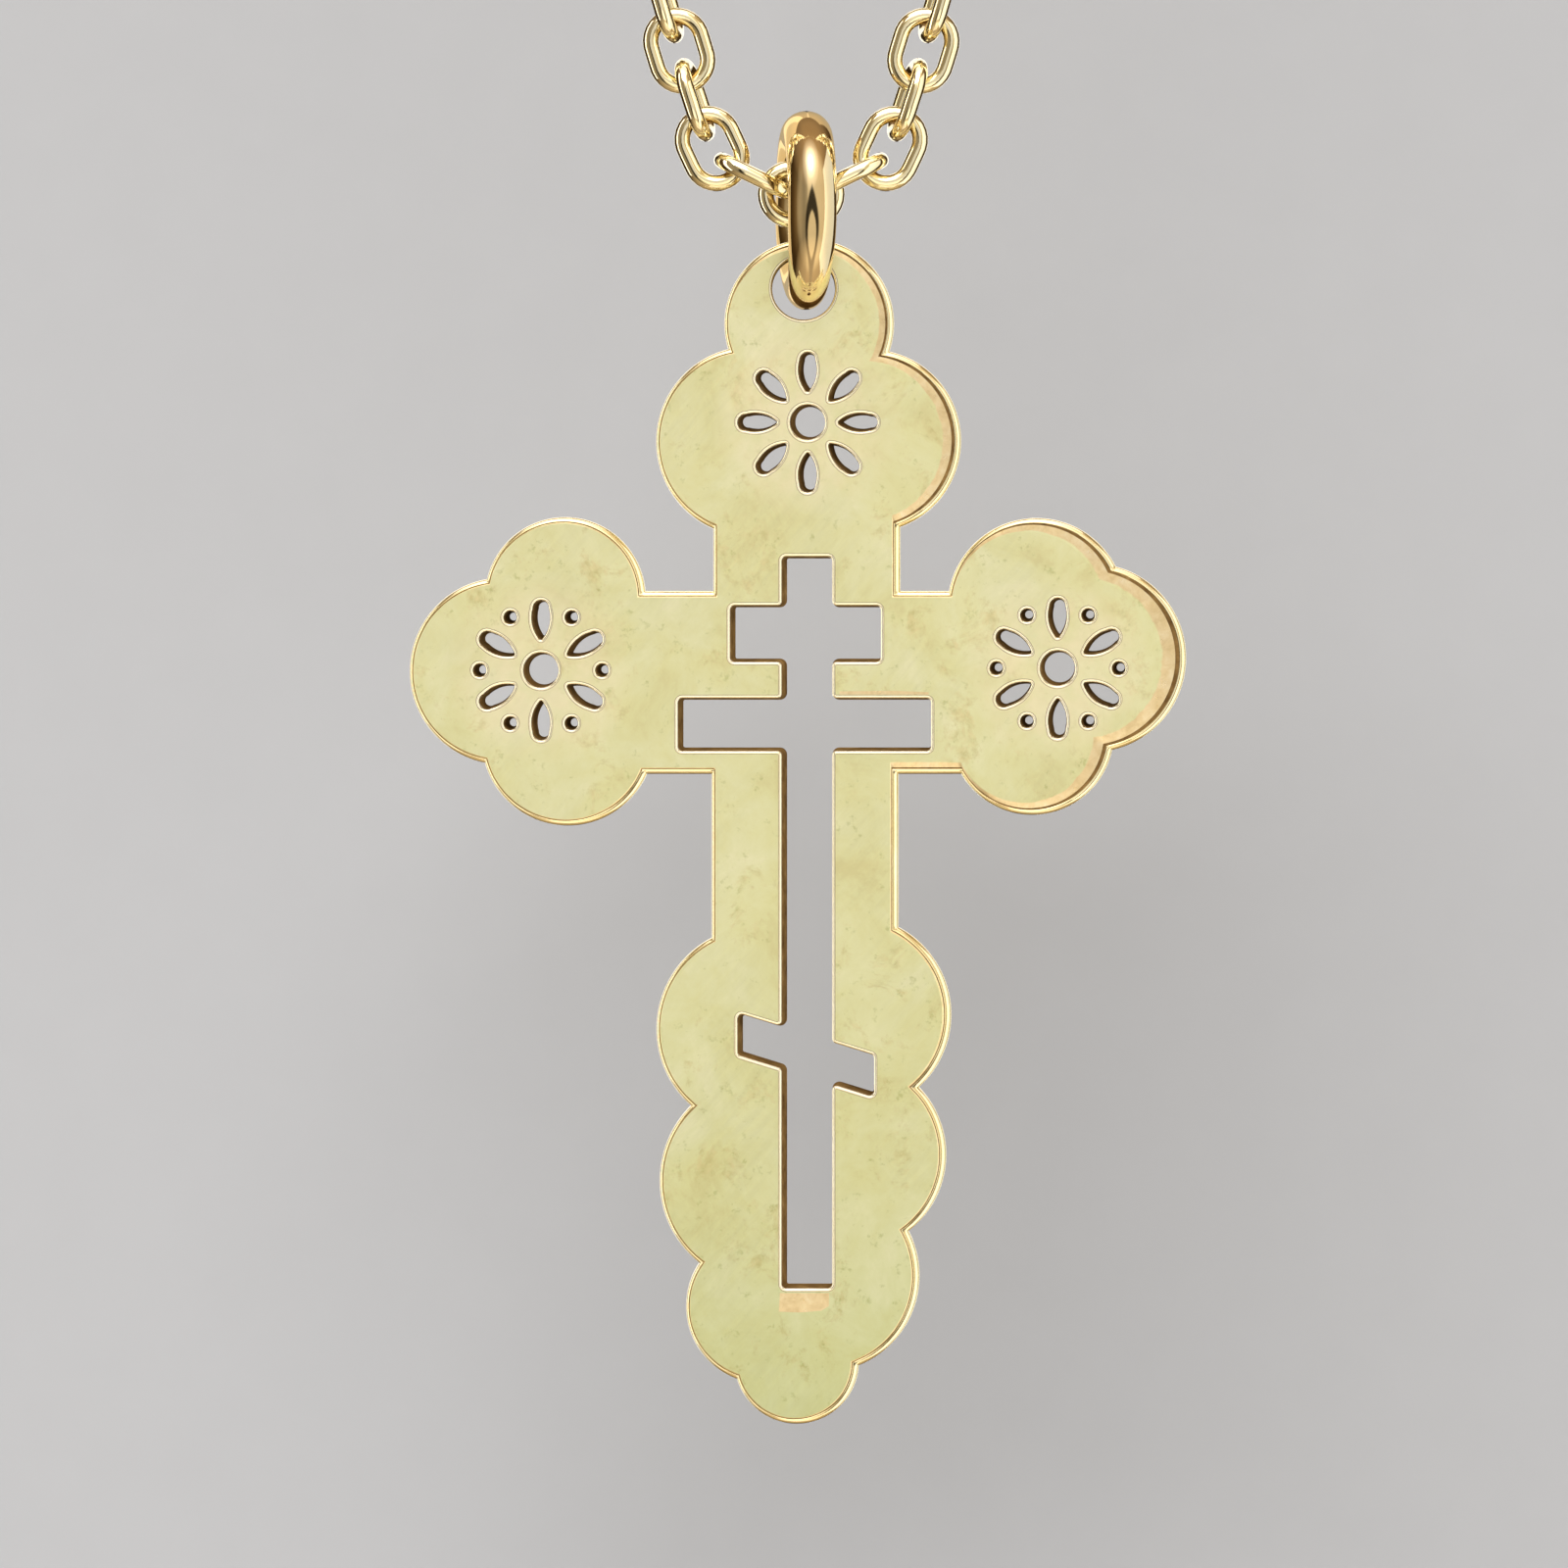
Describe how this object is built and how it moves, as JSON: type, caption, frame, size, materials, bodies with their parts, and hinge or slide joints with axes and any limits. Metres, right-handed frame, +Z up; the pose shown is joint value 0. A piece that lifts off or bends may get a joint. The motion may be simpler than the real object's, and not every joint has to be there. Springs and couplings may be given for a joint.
{
  "type": "orthodox cross pendant",
  "caption": "Pierced orthodox cross with lobed ends, hung by an oval bail on a closed loop of cable chain with a spring ring clasp; shown hanging.",
  "frame": {"origin": "where the loop of chain hangs: the middle of the lower edge of the clasp's ring, at the top of the loop", "axes": "+Z up; -Y is the way the face of the cross looks; +X is to the right of a viewer who faces it"},
  "size_m": [0.0859, 0.0064, 0.2244],
  "materials": {
    "plate_gold": "satin pale gold face with a bright polished rim",
    "bail_gold": "mirror polished yellow gold",
    "chain_gold": "polished yellow gold wire",
    "clasp_gold": "polished yellow gold"
  },
  "bodies": {
    "chain": {"chain_left": "chain_gold", "chain_right": "chain_gold", "end_ring": "chain_gold", "clasp": "clasp_gold"},
    "bail": {"bail": "bail_gold"},
    "cross": {"cross_plate": "plate_gold"}
  },
  "joints": [
    {"name": "bail_swing", "type": "hinge", "parent": "chain", "child": "bail", "pos_m": [-0.00008, 0, -0.1761], "axis": [1, 0, 0], "range_deg": [-30, 30]},
    {"name": "cross_swing", "type": "hinge", "parent": "bail", "child": "cross", "pos_m": [0, 0, -0.18015], "axis": [0, 1, 0], "range_deg": [-35, 35]}
  ]
}
